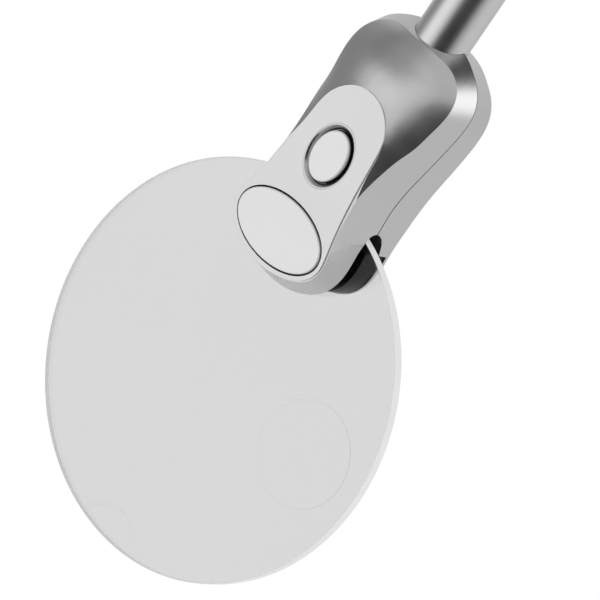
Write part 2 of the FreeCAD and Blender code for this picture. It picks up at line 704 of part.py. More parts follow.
door = new_body("battery_door", ARM)
sk = new_sketch(door, "XY_Plane", "-1 * head_depth", label="door_outline")
add_circle(sk, "cell_x", 0, "door_dia / 2")
pad(door, sk, 1.15, label="disc")
sk = new_sketch(door, "XY_Plane", "-1 * head_depth", label="tab_outline")
add_loop(sk, [(60.5, -4.0), (68.0, -4.0), (68.0, 4.0), (60.5, 4.0)])
pad(door, sk, 1.15, label="tab")
sk = new_sketch(door, "XY_Plane", "-1 * head_depth", label="door_screw_hole")
add_circle(sk, 63.2, 0, 1.1)
pocket(door, sk, 3.0, down=True, label="screw_hole")
sk = new_sketch(door, "XY_Plane", "-1 * head_depth", label="grip")
for k in range(-2, 3):
    add_loop(sk, [(82.0 + k * 1.6 - 0.4, -4.0), (82.0 + k * 1.6 + 0.4, -4.0),
                  (82.0 + k * 1.6 + 0.4, 4.0), (82.0 + k * 1.6 - 0.4, 4.0)])
pocket(door, sk, 0.4, down=True, label="grip_lines")


def screw(label, x, y, seat, head_r, head_t, shank_r, length, frame=ARM):
    """A pan-head screw whose head sits under seat and whose shank points up."""
    head = part("Cylinder", label + "_head", at(x, y, seat - head_t, frame=frame),
                Radius=head_r, Height=head_t)
    shank = part("Cylinder", label + "_shank", at(x, y, seat - 0.1, frame=frame),
                 Radius=shank_r, Height=length + 0.1)
    body = joined(label + "_body", [head, shank])
    slots = [part("Box", label + "_slot_%d" % k,
                  at(x, y, seat - head_t - 0.1, frame=frame).multiply(
                      Placement(Vector(), Rotation(Vector(0, 0, 1), 90 * k))).multiply(
                      Placement(Vector(-head_r * 0.6, -0.25, 0), Rotation())),
                  Length=head_r * 1.2, Width=0.5, Height=0.7) for k in range(2)]
    return cut(label, body, joined(label + "_cross", slots))


sink = -S["head_depth"] + 4.2
group("shell_screws", [screw("shell_screw_%d" % k, x, y, sink, 2.1, 1.6, 0.95,
                             -sink + 4.0) for k, (x, y) in enumerate(BOSSES)])
keep(screw("door_screw_part", 63.2, 0, -S["head_depth"], 1.9, 0.9, 0.95, 3.4), "door_screw")

# ---------------------------------------------------------------- telescoping arm
tube_r = S["tube_dia"] / 2
turned_body("inner_tube", ARM, [
    ("inner_start", "tube_dia / 2 - tube_wall"), ("inner_end", "tube_dia / 2 - tube_wall"),
    ("inner_end", "tube_dia / 2"), ("inner_start", "tube_dia / 2")])
turned_body("tube_ring", ARM, [
    (88.0, "tube_dia / 2"), (91.4, "tube_dia / 2"), (91.4, 9.7), (88.0, 9.7)])
turned_body("inner_guide", ARM, [
    ("inner_end - 12", "tube_dia / 2"), ("inner_end", "tube_dia / 2"),
    ("inner_end", "tube_dia / 2 + stage_step / 2 - tube_wall - run_gap"),
    ("inner_end - 12", "tube_dia / 2 + stage_step / 2 - tube_wall - run_gap")])
stages = (("middle", "tube_dia / 2", 1), ("outer", "tube_dia / 2 + stage_step / 2", 2))
for name, inside, k in stages:
    start, end = name + "_start", name + "_end"
    outside = inside + " + stage_step / 2" if k == 1 else "tube_dia / 2 + stage_step"
    turned_body(name + "_tube", ARM, [
        (start, outside + " - tube_wall"), (end, outside + " - tube_wall"),
        (end, outside), (start, outside)])
    collar = turned_body(name + "_collar", ARM, [
        (start + " - 5", inside + " + run_gap"), (start, inside + " + run_gap"),
        (start, outside), (start + " + 8", outside),
        (start + " + 8", outside + " + collar_wall - 0.5"),
        (start + " + 7.5", outside + " + collar_wall"),
        (start + " - 4", outside + " + collar_wall"),
        (start + " - 5", outside + " + collar_wall - 1")])
turned_body("middle_guide", ARM, [
    ("middle_end - 12", "tube_dia / 2 + stage_step / 2"),
    ("middle_end", "tube_dia / 2 + stage_step / 2"),
    ("middle_end", "tube_dia / 2 + stage_step - tube_wall - run_gap"),
    ("middle_end - 12", "tube_dia / 2 + stage_step - tube_wall - run_gap")])

knuckle = turned_body("elbow_knuckle", ARM, [
    ("outer_end - 10", "tube_dia / 2 + stage_step"), ("outer_end", "tube_dia / 2 + stage_step"),
    ("outer_end", 0), ("pivot_x - 8", 0), ("pivot_x - 8", 6.0), ("pivot_x - 16", 9.0),
    ("pivot_x - 20", "tube_dia / 2 + stage_step + 2.2"),
    ("outer_end - 9", "tube_dia / 2 + stage_step + 2.2"),
    ("outer_end - 10", "tube_dia / 2 + stage_step + 1.2")])
sk = new_sketch(knuckle, "XY_Plane", label="eye")
add_circle(sk, "pivot_x", 0, "eye_r")
pad(knuckle, sk, "eye_t", both=True, label="eye_disc")
for side in (1, -1):
    sk = new_sketch(knuckle, "XY_Plane", "eye_t / 2" if side > 0 else "-1 * eye_t / 2",
                    label="flat")
    add_loop(sk, [("pivot_x - 14.5", -20), ("pivot_x + 20", -20), ("pivot_x + 20", 20),
                  ("pivot_x - 14.5", 20)])
    pocket(knuckle, sk, 12.0, down=side > 0, label="flat_cut")
sk = new_sketch(knuckle, "XY_Plane", label="eye_hole")
add_circle(sk, "pivot_x", 0, "bolt_dia / 2 + run_gap")
pocket(knuckle, sk, 40.0, both=True, label="eye_bore")

# ---------------------------------------------------------------- clevis on its post
gap = "eye_t / 2 + 1.1"
clevis = new_body("swivel_clevis", ELBOW)
sk = new_sketch(clevis, "XZ_Plane", label="cheek_round")
add_circle(sk, 0, 0, "eye_r")
pad(clevis, sk, "eye_t + 2.2 + 2 * cheek_t", both=True, label="cheek_disc")
sk = new_sketch(clevis, "XZ_Plane", label="cheek_straight")
add_loop(sk, [("-1 * eye_r", 0), ("eye_r", 0), ("eye_r", 22.0), ("-1 * eye_r", 22.0)])
pad(clevis, sk, "eye_t + 2.2 + 2 * cheek_t", both=True, label="cheek_block")
sk = new_sketch(clevis, "XZ_Plane", label="slot")
add_loop(sk, [(-20.0, -20.0), (20.0, -20.0), (20.0, 14.0), (-20.0, 14.0)])
pocket(clevis, sk, "eye_t + 2.2", both=True, label="slot_cut")
soften(clevis, 1.2, lambda e: e.BoundBox.YLength < 0.01 and e.BoundBox.ZMin < 14
       and abs(abs(e.BoundBox.YMin) - (S["eye_t"] / 2 + 1.1 + S["cheek_t"])) < 0.05,
       label="cheek_edge")
sk = new_sketch(clevis, "XY_Plane", 20.0, label="shoulder")
add_circle(sk, 0, 0, "barrel_dia / 2 - 0.5")
pad(clevis, sk, "drop - barrel_tall / 2 - 21", label="shoulder_disc")
sk = new_sketch(clevis, "XY_Plane", 20.0, label="post")
add_circle(sk, 0, 0, "post_dia / 2")
pad(clevis, sk, "drop + barrel_tall / 2 - 20 + 7", label="post_rod")
sk = new_sketch(clevis, "XZ_Plane", label="bolt_hole")
add_circle(sk, 0, 0, "bolt_dia / 2 + 0.05")
pocket(clevis, sk, 60.0, both=True, label="bolt_bore")

half_clevis = S["eye_t"] / 2 + 1.1 + S["cheek_t"]
barrel_low = S["drop"] - S["barrel_tall"] / 2
barrel_high = S["drop"] + S["barrel_tall"] / 2
washers = []
for k, z in enumerate((barrel_low - 0.97, barrel_high + 0.03)):
    washers.append(cut("washer_%d" % k,
                       part("Cylinder", "washer_disc_%d" % k, at(0, 0, z, frame=ELBOW),
                            Radius="barrel_dia / 2 - 0.5", Height=0.94),
                       part("Cylinder", "washer_hole_%d" % k, at(0, 0, z - 1, frame=ELBOW),
                            Radius="post_dia / 2 + 0.04", Height=3.0)))
group("thrust_washers", washers)
discs = []
for k, y in enumerate((S["eye_t"] / 2 + 1.07, -S["eye_t"] / 2 - 0.05)):
    place = at(0, y, 0, axis=Vector(0, -1, 0), frame=ELBOW)
    discs.append(cut("friction_%d" % k,
                     part("Cylinder", "friction_disc_%d" % k, place, Radius="eye_r - 0.5",
                          Height=1.02),
                     part("Cylinder", "friction_hole_%d" % k,
                          at(0, y + 1, 0, axis=Vector(0, -1, 0), frame=ELBOW),
                          Radius="bolt_dia / 2 + 0.04", Height=3.0)))
group("friction_washers", discs)

cap_z = barrel_high + 1.0
nut_dome = cut("cap_dome",
               part("Sphere", "cap_ball", at(0, 0, cap_z + 5.0, frame=ELBOW), Radius=8.4),
               part("Cylinder", "cap_below", at(0, 0, cap_z - 8.0, frame=ELBOW), Radius=12.0,
                    Height=13.0))
nut_solid = joined("cap_solid", [
    part("Prism", "cap_hex", at(0, 0, cap_z, frame=ELBOW), Polygon=6, Circumradius=9.8,
         Height=6.0), nut_dome])
keep(cut("post_nut_part", nut_solid,
         part("Cylinder", "cap_thread", at(0, 0, cap_z - 1, frame=ELBOW), Radius="post_dia / 2",
              Height=7.1)), "post_nut")

bolt = new_body("tilt_bolt", ELBOW)
sk = new_sketch(bolt, "XZ_Plane", half_clevis, label="bolt_head")
add_circle(sk, 0, 0, 9.0)
pad(bolt, sk, 4.6, label="head")
soften(bolt, 1.6, lambda e: abs(e.BoundBox.YMin + half_clevis + 4.6) < 0.01
       and e.BoundBox.YLength < 0.01, label="head_edge")
sk = new_sketch(bolt, "XZ_Plane", half_clevis, label="shank")
add_circle(sk, 0, 0, "bolt_dia / 2")
pad(bolt, sk, 2 * half_clevis + 5.0, down=True, label="shank_rod")
sk = new_sketch(bolt, "XZ_Plane", half_clevis + 4.6, label="key_socket")
hexagon = [(3.4 * math.cos(math.radians(60 * k)), 3.4 * math.sin(math.radians(60 * k)))
           for k in range(6)]
add_loop(sk, hexagon)
pocket(bolt, sk, 3.0, down=False, label="socket_cut")
nut_y = half_clevis + 6.0
keep(cut("tilt_nut_part",
         part("Prism", "nut_hex", at(0, nut_y, 0, axis=Vector(0, -1, 0), frame=ELBOW),
              Polygon=6, Circumradius=8.0, Height=6.0),
         part("Cylinder", "nut_thread", at(0, nut_y + 1, 0, axis=Vector(0, -1, 0), frame=ELBOW),
              Radius="bolt_dia / 2", Height=8.0)), "tilt_nut")

# ---------------------------------------------------------------- wall bracket
bracket = new_body("wall_bracket", WALL)
sk = new_sketch(bracket, "XZ_Plane", label="plate_outline")
add_loop(sk, [("-1 * plate_wide / 2", "-1 * plate_tall / 2"),
              ("plate_wide / 2", "-1 * plate_tall / 2"), ("plate_wide / 2", "plate_tall / 2"),
              ("-1 * plate_wide / 2", "plate_tall / 2")])
pad(bracket, sk, "plate_thick", label="plate")
soften(bracket, 14.0, lambda e: abs(e.BoundBox.YLength - S["plate_thick"]) < 0.01
       and e.BoundBox.XLength < 0.01 and e.BoundBox.ZLength < 0.01, label="corners")
soften(bracket, 2.0, lambda e: abs(e.BoundBox.YMin + S["plate_thick"]) < 0.01
       and e.BoundBox.YLength < 0.01, label="front_edge")
sk = new_sketch(bracket, "XZ_Plane", label="screw_ways")
for sx in ("hole_wide / 2", "-1 * hole_wide / 2"):
    for sz in ("hole_tall / 2", "-1 * hole_tall / 2"):
        add_circle(sk, sx, sz, "hole_dia / 2")
pocket(bracket, sk, 30.0, both=True, label="screw_holes")
soften(bracket, 2.2, lambda e: abs(e.BoundBox.YMin + S["plate_thick"]) < 0.01
       and e.BoundBox.YLength < 0.01 and e.BoundBox.XLength < S["hole_dia"] + 0.1,
       chamfer=True, label="countersinks")
sk = new_sketch(bracket, "XZ_Plane", label="stem_outline")
add_circle(sk, 0, 0, "stem_dia / 2")
pad(bracket, sk, "reach", label="stem")
soften(bracket, 4.0, lambda e: abs(e.BoundBox.YMin + S["plate_thick"]) < 0.01
       and e.BoundBox.YLength < 0.01 and abs(e.BoundBox.XLength - S["stem_dia"]) < 0.1,
       label="stem_root")
sk = new_sketch(bracket, "XY_Plane", label="barrel_outline")
add_circle(sk, 0, "-1 * reach", "barrel_dia / 2")
pad(bracket, sk, "barrel_tall", both=True, label="barrel")
sk = new_sketch(bracket, "XY_Plane", label="post_way")
add_circle(sk, 0, "-1 * reach", "post_dia / 2 + run_gap")
pocket(bracket, sk, "barrel_tall + 10", both=True, label="post_bore")
soften(bracket, 0.8, lambda e: abs(abs(e.BoundBox.ZMin) - S["barrel_tall"] / 2) < 0.01
       and e.BoundBox.ZLength < 0.01 and e.BoundBox.XLength > S["barrel_dia"] - 0.5,
       chamfer=True, label="barrel_edges")

doc.recompute()
faults = 0
for o in doc.Objects:
    if "Invalid" in o.State or "Error" in o.State:
        print("FAULT", o.Name, o.Label, o.State)
        faults += 1
for o in made:
    shape = o.Shape
    bad = shape.isNull() or not shape.isValid() or not shape.Solids
    print("%-18s solids %d volume %10.1f valid %s" % (
        o.Label, len(shape.Solids), shape.Volume, not bad))
    if bad:
        print("FAULT", o.Label)
        faults += 1
    else:
        shape.exportStep("parts/%s.step" % o.Label)
if faults:
    raise SystemExit("faults found: %d" % faults)
print("nodes", len(made))
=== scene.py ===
import json
import math

import bmesh
import bpy
from mathutils import Matrix, Vector


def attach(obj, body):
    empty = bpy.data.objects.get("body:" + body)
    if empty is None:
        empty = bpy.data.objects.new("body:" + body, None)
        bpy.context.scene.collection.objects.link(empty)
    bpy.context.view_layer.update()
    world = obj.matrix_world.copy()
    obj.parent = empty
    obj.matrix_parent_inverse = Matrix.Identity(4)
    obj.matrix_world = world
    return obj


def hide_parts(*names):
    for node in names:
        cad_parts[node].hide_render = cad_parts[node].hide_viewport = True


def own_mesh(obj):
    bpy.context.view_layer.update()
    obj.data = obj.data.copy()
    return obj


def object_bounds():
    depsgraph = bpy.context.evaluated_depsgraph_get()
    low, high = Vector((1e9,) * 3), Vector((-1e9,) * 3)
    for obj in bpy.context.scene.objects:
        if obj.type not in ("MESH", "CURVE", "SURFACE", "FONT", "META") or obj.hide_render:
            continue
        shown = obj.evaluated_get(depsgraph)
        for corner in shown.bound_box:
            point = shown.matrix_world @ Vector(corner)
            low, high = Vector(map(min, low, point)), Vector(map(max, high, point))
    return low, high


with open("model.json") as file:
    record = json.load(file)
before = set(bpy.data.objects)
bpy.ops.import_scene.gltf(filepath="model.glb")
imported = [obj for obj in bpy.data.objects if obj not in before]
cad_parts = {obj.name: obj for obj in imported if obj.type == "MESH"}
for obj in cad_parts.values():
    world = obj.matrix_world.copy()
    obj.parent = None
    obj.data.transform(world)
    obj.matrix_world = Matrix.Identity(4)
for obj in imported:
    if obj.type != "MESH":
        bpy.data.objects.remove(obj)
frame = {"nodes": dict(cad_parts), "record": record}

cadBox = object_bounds()
nodes = frame["nodes"]
mm = 0.001

# the head and arm stand on a slope: along runs up the arm, across lies over it in the plane
# of the lens, front points into the room
slope = math.radians(52.0)
along = Vector((math.cos(slope), 0, math.sin(slope)))
across = Vector((-math.sin(slope), 0, math.cos(slope)))
front = Vector((0, -1, 0))
lensCentre = Vector((0, -0.062, -0.042)) - along * 0.386
armMatrix = Matrix((
    (along.x, across.x, front.x, lensCentre.x),
    (along.y, across.y, front.y, lensCentre.y),
    (along.z, across.z, front.z, lensCentre.z),
    (0, 0, 0, 1)))


def onArm(x, y, z):
    return armMatrix @ Vector((x * mm, y * mm, z * mm))


print("camera")
cameraSet = dict(place=(358.3, -566.9, 942.0), focal=270.0, right=(0.5387, -0.6286, -0.5610),
                 up=(0.7918, 0.6052, 0.0821))


def makeCamera():
    data = bpy.data.cameras.new("camera")
    data.lens = cameraSet["focal"]
    data.sensor_width = 36.0
    data.clip_start, data.clip_end = 0.05, 30.0
    camera = bpy.data.objects.new("camera", data)
    bpy.context.scene.collection.objects.link(camera)
    turn = armMatrix.to_3x3()
    right = (turn @ Vector(cameraSet["right"])).normalized()
    up = turn @ Vector(cameraSet["up"])
    back = right.cross(up).normalized()
    up = back.cross(right)
    camera.matrix_world = Matrix.Translation(onArm(*cameraSet["place"])) @ Matrix(
        (right, up, back)).transposed().to_4x4()
    bpy.context.scene.camera = camera


makeCamera()


class Wire:
    # a node socket that can stand in a sum
    def __init__(self, finish, socket):
        self.finish, self.socket = finish, socket

    def sum(self, operation, a, b):
        return self.finish.node("ShaderNodeMath", dict(operation=operation), {0: a, 1: b})

    def __add__(self, other):
        return self.sum("ADD", self, other)

    def __radd__(self, other):
        return self.sum("ADD", other, self)

    def __sub__(self, other):
        return self.sum("SUBTRACT", self, other)

    def __rsub__(self, other):
        return self.sum("SUBTRACT", other, self)

    def __mul__(self, other):
        return self.sum("MULTIPLY", self, other)

    def __rmul__(self, other):
        return self.sum("MULTIPLY", other, self)

    def __truediv__(self, other):
        return self.sum("DIVIDE", self, other)

    def __pow__(self, other):
        return self.sum("POWER", self, other)


class Finish:
    # the node tree of a material, or of the world
    def __init__(self, name, owner=None):
        self.owner = owner or bpy.data.materials.new(name)
        self.owner.use_nodes = True
        self.tree = self.owner.node_tree
        self.tree.nodes.clear()

    def node(self, kind, settings=None, sockets=None, out=0):
        made = self.tree.nodes.new(kind)
        for key, value in (settings or {}).items():
            setattr(made, key, value)
        for key, value in (sockets or {}).items():
            if isinstance(value, Wire):
                self.tree.links.new(value.socket, made.inputs[key])
            elif value is not None:
                made.inputs[key].default_value = value
        return Wire(self, made.outputs[out]) if made.outputs else made

    def noise(self, where, scale, detail=3.0, rough=0.55):
        return self.node("ShaderNodeTexNoise", None, {
            "Vector": where, "Scale": scale, "Detail": detail, "Roughness": rough}, "Fac")

    def stretched(self, where, scale):
        return self.node("ShaderNodeVectorMath", dict(operation="MULTIPLY"), {
            0: where, 1: scale}, "Vector")

    def between(self, value, low, high, outLow=0.0, outHigh=1.0):
        return self.node("ShaderNodeMapRange", None, {
            "Value": value, "From Min": low, "From Max": high, "To Min": outLow,
            "To Max": outHigh}, "Result")

    def blend(self, factor, a, b):
        return self.node("ShaderNodeMix", dict(data_type="RGBA"), {
            "Factor": factor, 6: a, 7: b}, 2)

    def bump(self, height, distance, strength=1.0):
        return self.node("ShaderNodeBump", None, {
            "Height": height, "Distance": distance, "Strength": strength}, "Normal")

    def surface(self, **sockets):
        named = {key.replace("_", " "): value for key, value in sockets.items()}
        shader = self.node("ShaderNodeBsdfPrincipled", None, named, "BSDF")
        self.node("ShaderNodeOutputMaterial", None, {"Surface": shader})
        return self.owner


def grey(v, tint=0.0):
    return (v, v, v * (1 + tint), 1.0)


def ownPlace(finish):
    # the same point of a piece keeps the same pattern wherever the arm is
    return finish.node("ShaderNodeTexCoord", None, None, "Object")


print("finishes")


def armPlace(f, x, y, axes=(along, across)):
    # distances from a point of the lens plane, along and across the arm, in metres
    off = f.node("ShaderNodeVectorMath", dict(operation="SUBTRACT"), {
        0: ownPlace(f), 1: tuple(onArm(x, y, 0))}, "Vector")
    return [f.node("ShaderNodeVectorMath", dict(operation="DOT_PRODUCT"), {
        0: off, 1: tuple(axis)}, "Value") for axis in axes]


silverPaint = dict(base=0.56, flake=0.03, roughness=0.27, grain=2600.0, cloud=38.0, metal=0.96,
                   pebble=0.00001)
# painted shade: the insides of the wells round the keys are coloured near black with no metal,
# standing in for the shade in the gaps. Each has its middle, half length, half width and the
# height of its rim over the lens plane, in millimetres
keyWells = dict(pad=(43.4, 9.1, 15.5, 13.2), button=(66.7, 8.9, 6.95, 12.3))
wellShadeLevels = dict(shade=0.012, floor=2.0)  # shade is the near-black colour of the painted shade; nothing below floor gets it


# painted shade mask: 1 inside the key wells below their rims and above the floor height
def paintedWellShade(f, wells):
    mask = 0.0
    inside = wellShadeLevels["floor"] * mm
    height, = armPlace(f, 0, 0, [front])
    for x, halfLong, halfWide, level in wells:
        a, b = armPlace(f, x, 0)
        a, b = a / (halfLong * mm), b / (halfWide * mm)
        within = f.between(a * a + b * b, 0.99, 1.01, 1.0, 0.0)
        mask = mask + within * f.between(height, (level - 0.05) * mm, level * mm, 1.0, 0.0)
    return mask * f.between(height, inside, inside + 0.0001)


def paintFinish(name, values):
    f = Finish(name)
    where = ownPlace(f)
    flake = f.noise(where, values["grain"], 2.0)
    cloud = f.noise(where, values["cloud"])
    base = values["base"]
    tone = f.between(flake * 0.5 + cloud * 0.5, 0.15, 0.85)
    colour = f.blend(tone, grey(base - values["flake"]), grey(base + values["flake"], 0.01))
    rough = f.between(cloud, 0.1, 0.9, values["roughness"] - 0.05, values["roughness"] + 0.06)
    metal = values["metal"]
    if "wells" in values:
        # painted shade in the wells: near black, and no metal
        shadeMask = paintedWellShade(f, values["wells"])
        colour = f.blend(shadeMask, colour, grey(wellShadeLevels["shade"]))
        metal = metal * (1 - shadeMask)
    return f.surface(Base_Color=colour, Metallic=metal, Roughness=rough,
                     Normal=f.bump(flake, values["pebble"], 0.35))


brushedTube = dict(base=0.63, roughness=0.30, lines=3600.0)


def brushedFinish(name, values):
    # fine turning marks that run round a tube
    f = Finish(name)
    where = ownPlace(f)
    run = f.node("ShaderNodeVectorMath", dict(operation="DOT_PRODUCT"), {
        0: where, 1: tuple(along)}, "Value")
    lines = f.node("ShaderNodeTexNoise", dict(noise_dimensions="1D"), {
        "W": run, "Scale": values["lines"], "Detail": 3.0}, "Fac")
    cloud = f.noise(where, 60.0, 3.0)
    colour = f.blend(lines, grey(values["base"] - 0.05), grey(values["base"] + 0.04))
    rough = values["roughness"] + f.between(cloud + lines * 0.6, 0.5, 1.1, -0.04, 0.06)
    return f.surface(Base_Color=colour, Metallic=1.0, Roughness=rough,
                     Normal=f.bump(lines, 0.000004, 0.5))


def chromeFinish(name, base=0.72, roughness=0.14):
    f = Finish(name)
    where = ownPlace(f)
    cloud = f.noise(where, 120.0, 4.0)
    wipe = f.noise(f.stretched(where, (400.0, 400.0, 60.0)), 3.0, 3.0)
    colour = f.blend(cloud, grey(base - 0.04), grey(base + 0.03))
    rough = f.between(cloud * 0.6 + wipe * 0.4, 0.3, 0.7, roughness - 0.04, roughness + 0.07)
    return f.surface(Base_Color=colour, Metallic=1.0, Roughness=rough,
                     Normal=f.bump(wipe, 0.000003, 0.3))


def plasticFinish(name, base, roughness=0.5, pebble=0.00002, paintedGlow=0.0, shine=0.5):
    f = Finish(name)
    where = ownPlace(f)
    texture = f.noise(where, 1800.0, 2.0)
    cloud = f.noise(where, 50.0, 3.0)
    dark = tuple(c * 0.85 for c in base) + (1.0,)
    light = tuple(min(1.0, c * 1.12) for c in base) + (1.0,)
    colour = f.blend(f.between(cloud * 0.6 + texture * 0.4, 0.3, 0.7), dark, light)
    rough = f.between(cloud, 0.3, 0.7, roughness - 0.06, roughness + 0.06)
    return f.surface(Base_Color=colour, Roughness=rough, Normal=f.bump(texture, pebble, 0.6),
                     Specular_IOR_Level=shine, Emission_Color=grey(paintedGlow),
                     Emission_Strength=1.0 if paintedGlow else 0.0)


lensGlass = dict(tint=0.895, roughness=0.015, bend=1.49, radius=55.0, rimRough=0.45,
                 rimTint=0.93)


def glassFinish(name, values):
    f = Finish(name)
    cloud = f.noise(ownPlace(f), 25.0, 2.0)
    tone = values["tint"]
    colour = f.blend(cloud, grey(tone - 0.012), grey(tone + 0.012))
    rough = f.between(cloud, 0.3, 0.7, values["roughness"] * 0.6, values["roughness"] * 1.4)
    if "radius" in values:
        # the rim is ground, the faces are polished
        edge = values["radius"] * mm
        a, b = armPlace(f, 0, 0)
        rim = f.between((a * a + b * b) ** 0.5, edge - 0.0006, edge - 0.0002)
        rough = rough + rim * values["rimRough"]
        colour = f.blend(rim, colour, grey(values["rimTint"]))
    return f.surface(Base_Color=colour, Roughness=rough, IOR=values["bend"],
                     Transmission_Weight=1.0)


finishes = {
    # the shell carries painted shade inside the key wells
    "shell": paintFinish("silverShell", dict(silverPaint, wells=keyWells.values())),
    "plate": paintFinish("silverPlate", dict(silverPaint, base=0.72, roughness=0.42, metal=0.55)),
    "keys": paintFinish("silverKeys", dict(silverPaint, base=0.76, roughness=0.40, metal=0.5)),
    "lens": glassFinish("lensGlass", lensGlass),
    "dark_plastic": plasticFinish("blackPlastic", (0.010, 0.010, 0.0105), 0.42, shine=0.15),
    "led": glassFinish("lampClear", dict(tint=0.95, roughness=0.06, bend=1.5)),
    "board": plasticFinish("boardGreen", (0.03, 0.17, 0.08), 0.35),
    "steel": chromeFinish("brightSteel", 0.62, 0.22),
    "tube": brushedFinish("satinTube", brushedTube),
    "guide": plasticFinish("guidePlastic", (0.75, 0.74, 0.70), 0.45),
    "chrome": chromeFinish("satinChrome", 0.70, 0.16),
    "casting": paintFinish("satinCasting", dict(silverPaint, base=0.60, roughness=0.34,
                                                pebble=0.00003)),
}
byNode = {
    "button_ring": paintFinish("silverRing", dict(silverPaint, base=0.50, roughness=0.2,
                                                  metal=0.95)),
    # painted shade: the pad's sides below its top are coloured near black
    "nose_pad": paintFinish("silverPad", dict(silverPaint, base=0.76, roughness=0.40, metal=0.5,
                                              wells=[(43.4, 20.0, 20.0, 13.5)])),
    # painted shade: the button's sides below its top are coloured near black
    "power_button": paintFinish("silverButton", dict(silverPaint, base=0.76, roughness=0.40,
                                                     metal=0.5,
                                                     wells=[(66.7, 20.0, 20.0, 13.3)])),
}
slotOf = {s["node"]: s["material_slot"] for s in frame["record"]["subparts"]}
for name, piece in nodes.items():
    piece.data.materials.clear()
    piece.data.materials.append(byNode.get(name) or finishes[slotOf[name]])

print("springs")
coilSprings = {
    "buttonCoil": dict(node="button_spring", joint="button_press", x=66.7, low=5.5, tall=4.2,
                       radius=5.0, wire=0.25, turns=4, press=0.8),
    "padCoil": dict(node="pad_spring", joint="pad_press", x=43.4, low=10.23, tall=1.14,
                    radius=4.4, wire=0.18, turns=2, press=0.8)}
coilGrid = dict(rounds=40, sides=12)  # steps in a turn, and round the wire


def coilSpring(name, values):
    # round wire wound up a helix whose end turns lie flat
    rounds, sides = coilGrid["rounds"], coilGrid["sides"]
    count = int(values["turns"] * rounds)
    mesh = bmesh.new()
    rings = []
    for k in range(count + 1):
        share = k / count
        angle = 2 * math.pi * values["turns"] * share
        rest = 0.5 / values["turns"]
        climb = min(1.0, max(0.0, (share - rest) / (1 - 2 * rest)))
        height = values["low"] + values["tall"] * climb
        out = (math.cos(angle), math.sin(angle))
        ring = []
        for j in range(sides):
            turn = 2 * math.pi * j / sides
            reach = values["radius"] + values["wire"] * math.cos(turn)
            ring.append(mesh.verts.new(onArm(values["x"] + reach * out[0], reach * out[1],
                                             height + values["wire"] * math.sin(turn))))
        rings.append(ring)
    for one, two in zip(rings, rings[1:]):
        for j in range(sides):
            mesh.faces.new((one[j], one[(j + 1) % sides], two[(j + 1) % sides], two[j]))
    mesh.faces.new(rings[0])
    mesh.faces.new(list(reversed(rings[-1])))
    bmesh.ops.recalc_face_normals(mesh, faces=mesh.faces)
    data = bpy.data.meshes.new(name)
    mesh.to_mesh(data)
    mesh.free()
    for face in data.polygons:
        face.use_smooth = len(face.vertices) == 4
    spring = bpy.data.objects.new(name, data)
    bpy.context.scene.collection.objects.link(spring)
    data.materials.append(finishes["steel"])
    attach(spring, "head")
    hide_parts(values["node"])
    height = values["tall"] + 2 * values["wire"]
    tuple(onArm(values["x"], 0, values["low"] - values["wire"]))
    1 - values["press"] / height
    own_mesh(spring)


for name, values in coilSprings.items():
    coilSpring(name, values)

print("lens")
lensShape = dict(radius=55.0, half=1.4, dome=1.4, ease=0.12,
                 spot=(0.0, -34.5), spotRadius=14.2, spotStep=0.10, spotBulge=0.20, spotEdge=0.5,
                 land=(-57.9, 0.0), landRadius=11.0, landStep=0.14, landEdge=0.6)
lensGrid = dict(around=400, domeRings=40, fineRings=26, fine=0.45, wideRings=14, wide=1.6,
                stepRings=7, spotRings=14)


def smooth(value):
    value = min(1.0, max(0.0, value))
    return value * value * (3 - 2 * value)


def lensBack(values, x, y):
    # height of the back face: flat, with the reading spot and the moulded land standing proud
    fromSpot = math.dist((x, y), values["spot"])
    edge = values["spotEdge"]
    spot = smooth((values["spotRadius"] + edge / 2 - fromSpot) / edge)
    bulge = max(0.0, 1 - (fromSpot / values["spotRadius"]) ** 2)
    edge = values["landEdge"]
    land = smooth((values["landRadius"] + edge / 2 - math.dist((x, y), values["land"])) / edge)
    return (-values["half"] - spot * values["spotStep"] - bulge * values["spotBulge"]
            - land * values["landStep"])


